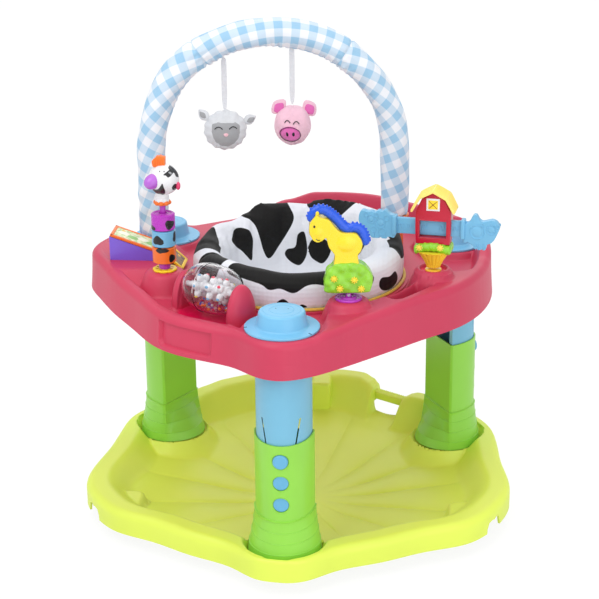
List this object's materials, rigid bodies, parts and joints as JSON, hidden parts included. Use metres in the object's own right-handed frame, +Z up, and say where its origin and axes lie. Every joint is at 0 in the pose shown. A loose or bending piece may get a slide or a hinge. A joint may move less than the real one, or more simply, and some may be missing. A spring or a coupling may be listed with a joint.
{
  "type": "activity jumper",
  "caption": "Free-standing baby activity jumper: lobed rocker base, height-adjustable sprung posts, toy tray with a turning cloth seat and a padded toy arch.",
  "frame": {"origin": "on the floor at the centre of the base's flat belly, on the upright axis through the middle of the three posts", "axes": "+Z up, -Y towards the front post, +X to the right seen from the front"},
  "size_m": [0.6896, 0.6944, 0.78],
  "materials": {
    "base_lime": "moulded, satin",
    "foot_grey": "matt",
    "steel_pin": "plain",
    "leg_green": "moulded, glossy",
    "leg_blue": "moulded, glossy",
    "button_blue": "moulded, glossy",
    "tray_pink": "moulded, satin gloss",
    "ring_white": "moulded",
    "cow_cloth": "woven, printed with dark patches",
    "piping_yellow": "woven piping",
    "steel_tube": "plain",
    "gingham": "checked woven cotton",
    "toy_orange": "moulded, glossy",
    "plush_grey": "soft plush",
    "plush_pink": "soft plush",
    "webbing": "woven tape",
    "toy_purple": "moulded, glossy",
    "toy_yellow": "moulded, glossy",
    "toy_blue": "moulded, glossy",
    "toy_white": "moulded, glossy",
    "clear_shell": "clear plastic",
    "bead_red": "moulded, glossy",
    "toy_green": "moulded, glossy",
    "mane_blue": "moulded, glossy",
    "barn_red": "moulded, glossy",
    "stand_purple": "moulded, glossy"
  },
  "bodies": {
    "base": {"base_dish": "base_lime", "outer_leg_front": "leg_green", "outer_leg_right": "leg_green", "outer_leg_left": "leg_green", "leg_screws": "steel_pin", "stabiliser_pins": "steel_pin"},
    "inner_legs": {"inner_leg_front": "leg_blue", "inner_leg_right": "leg_blue", "inner_leg_left": "leg_blue", "leg_springs": "steel_pin"},
    "tray": {"tray": "tray_pink", "post_cap_front": "leg_blue", "post_cap_right": "leg_blue", "post_cap_left": "leg_blue", "arch_tube": "steel_tube", "arch_sleeve": "gingham", "arch_socket_left": "toy_orange", "arch_socket_right": "toy_orange", "spinner_rod": "toy_purple", "spinner_star": "toy_yellow", "barrel_axle": "steel_pin", "horse_base": "toy_purple", "horse_pin": "steel_pin", "barn_pot": "toy_yellow", "barn_leaves": "toy_green", "barn_body": "barn_red", "barn_roof": "toy_yellow", "barn_window": "toy_yellow", "book_stand": "stand_purple", "book_pin": "steel_pin"},
    "seat": {"seat_ring": "ring_white", "seat_fabric": "cow_cloth", "seat_piping": "piping_yellow"},
    "button_front": {"height_button_front": "button_blue"},
    "button_right": {"height_button_right": "button_blue"},
    "button_left": {"height_button_left": "button_blue"},
    "stabiliser_right": {"stabiliser_foot_right": "foot_grey"},
    "stabiliser_back": {"stabiliser_foot_back": "foot_grey"},
    "stabiliser_left": {"stabiliser_foot_left": "foot_grey"},
    "cow": {"cow_head": "toy_white", "cow_collar": "toy_orange", "cow_hair": "toy_orange"},
    "purple_spinner": {"spin_purple": "toy_purple"},
    "blue_spinner": {"spin_blue": "toy_blue"},
    "orange_spinner": {"spin_orange": "toy_orange"},
    "barrel": {"barrel_shell_left": "clear_shell", "barrel_shell_right": "clear_shell", "barrel_core": "toy_white", "barrel_beads": "bead_red"},
    "horse": {"horse_bush": "toy_green", "horse_body": "toy_yellow", "horse_mane": "mane_blue", "bush_flowers": "toy_yellow"},
    "bar": {"animal_bar": "toy_blue"},
    "orange_page": {"page_orange": "toy_orange"},
    "yellow_page": {"page_yellow": "toy_yellow"},
    "sheep": {"sheep_head": "plush_grey", "sheep_strap": "webbing"},
    "pig": {"pig_head": "plush_pink", "pig_strap": "webbing"}
  },
  "joints": [
    {"name": "height_slide", "type": "slide", "parent": "base", "child": "inner_legs", "axis": [0, 0, 1], "range_m": [-0.07, 0], "deforming": ["height_button_front", "height_button_right", "height_button_left"]},
    {"name": "bounce_slide", "type": "slide", "parent": "inner_legs", "child": "tray", "axis": [0, 0, 1], "range_m": [-0.02, 0], "stiffness_N_per_m": 4000, "springref_m": 0.03, "deforming": ["leg_springs"]},
    {"name": "seat_spin", "type": "hinge", "parent": "tray", "child": "seat", "pos_m": [0, -0.019, 0.39], "axis": [0, 0, 1], "continuous": true},
    {"name": "button_front_press", "type": "slide", "parent": "inner_legs", "child": "button_front", "axis": [0, 1, 0], "range_m": [0, 0.0075], "stiffness_N_per_m": 400, "springref_m": -0.002},
    {"name": "button_right_press", "type": "slide", "parent": "inner_legs", "child": "button_right", "axis": [-0.866, -0.5, 0], "range_m": [0, 0.0075], "stiffness_N_per_m": 400, "springref_m": -0.002},
    {"name": "button_left_press", "type": "slide", "parent": "inner_legs", "child": "button_left", "axis": [0.866, -0.5, 0], "range_m": [0, 0.0075], "stiffness_N_per_m": 400, "springref_m": -0.002},
    {"name": "stabiliser_right_fold", "type": "hinge", "parent": "base", "child": "stabiliser_right", "pos_m": [0.28941, -0.14116, 0.034], "axis": [-0.4384, -0.8988, 0], "range_deg": [0, 90]},
    {"name": "stabiliser_back_fold", "type": "hinge", "parent": "base", "child": "stabiliser_back", "pos_m": [0, 0.322, 0.034], "axis": [1, 0, 0], "range_deg": [0, 90]},
    {"name": "stabiliser_left_fold", "type": "hinge", "parent": "base", "child": "stabiliser_left", "pos_m": [-0.28941, -0.14116, 0.034], "axis": [-0.4384, 0.8988, 0], "range_deg": [0, 90]},
    {"name": "cow_spin", "type": "hinge", "parent": "tray", "child": "cow", "pos_m": [-0.19964, -0.0948, 0.54], "axis": [0, 0, 1], "continuous": true},
    {"name": "purple_spin", "type": "hinge", "parent": "tray", "child": "purple_spinner", "pos_m": [-0.19964, -0.0948, 0.501], "axis": [0, 0, 1], "continuous": true},
    {"name": "blue_spin", "type": "hinge", "parent": "tray", "child": "blue_spinner", "pos_m": [-0.19964, -0.0948, 0.475], "axis": [0, 0, 1], "continuous": true},
    {"name": "orange_spin", "type": "hinge", "parent": "tray", "child": "orange_spinner", "pos_m": [-0.19964, -0.0948, 0.448], "axis": [0, 0, 1], "continuous": true},
    {"name": "barrel_spin", "type": "hinge", "parent": "tray", "child": "barrel", "pos_m": [-0.1103, -0.19496, 0.428], "axis": [0.8704, -0.4924, 0], "continuous": true},
    {"name": "horse_rock", "type": "hinge", "parent": "tray", "child": "horse", "pos_m": [0.09111, -0.20463, 0.429], "axis": [0.0976, -0.9952, 0], "range_deg": [-12, 12], "stiffness_Nm_per_rad": 0.6},
    {"name": "bar_slide", "type": "slide", "parent": "tray", "child": "bar", "axis": [0.989, -0.1478, 0], "range_m": [-0.01, 0.02]},
    {"name": "orange_page_flip", "type": "hinge", "parent": "tray", "child": "orange_page", "pos_m": [-0.214, 0.009, 0.419], "axis": [0, 1, 0], "range_deg": [0, 82]},
    {"name": "yellow_page_flip", "type": "hinge", "parent": "tray", "child": "yellow_page", "pos_m": [-0.214, 0.009, 0.419], "axis": [0, -1, 0], "range_deg": [0, 62]},
    {"name": "sheep_swing", "type": "hinge", "parent": "tray", "child": "sheep", "pos_m": [-0.12566, 0.08322, 0.71324], "axis": [0.984, 0.178, 0], "range_deg": [-35, 35]},
    {"name": "pig_swing", "type": "hinge", "parent": "tray", "child": "pig", "pos_m": [-0.01939, 0.10245, 0.72986], "axis": [0.984, 0.178, 0], "range_deg": [-35, 35]}
  ]
}
